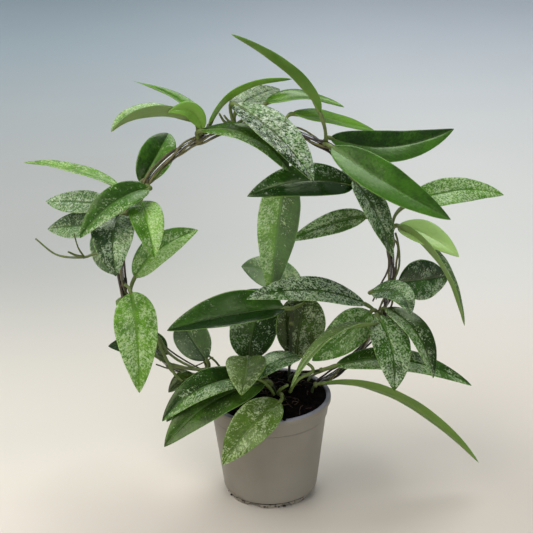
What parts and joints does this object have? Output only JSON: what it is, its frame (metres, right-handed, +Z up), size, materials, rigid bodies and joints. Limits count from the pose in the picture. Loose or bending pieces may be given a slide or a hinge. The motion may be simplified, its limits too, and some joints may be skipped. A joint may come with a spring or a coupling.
{
  "type": "potted hoya plant",
  "caption": "Potted trailing hoya with splashed waxy leaves, its stems wound round an upright wire hoop that stands in the soil of a round plastic nursery pot.",
  "frame": {"origin": "middle of the pot's underside, on the surface that the pot stands on", "axes": "+X to the right and +Y away from the front in the picture's view, in the plane of the hoop and across it, +Z up"},
  "size_m": [0.4603, 0.1934, 0.4476],
  "materials": {
    "pot": "satin taupe-grey moulded plastic",
    "soil": "moist dark potting mix of peat, bark and fibres",
    "hoop": "black coated wire, semi-gloss",
    "leaf": "thick waxy green leaf splashed with silver",
    "stem": "woody brown to olive vine"
  },
  "bodies": {
    "root": {"pot": "pot", "soil": "soil", "hoop": "hoop", "vine_left_low": "leaf", "vine_left_mid": "leaf", "vine_left_bend": "leaf", "vine_left_high": "leaf", "vine_left_top": "leaf", "vine_top_left": "leaf", "vine_top": "leaf", "vine_top_right": "leaf", "vine_right_top": "leaf", "vine_right_high": "leaf", "vine_right_mid": "leaf", "vine_right_low": "leaf", "vine_right_base": "leaf", "vine_right_leg": "stem", "shoot_centre": "leaf", "shoot_back": "leaf", "shoot_front_left": "leaf", "shoot_front": "leaf", "shoot_right_low": "leaf", "shoot_right": "leaf"}
  },
  "joints": []
}
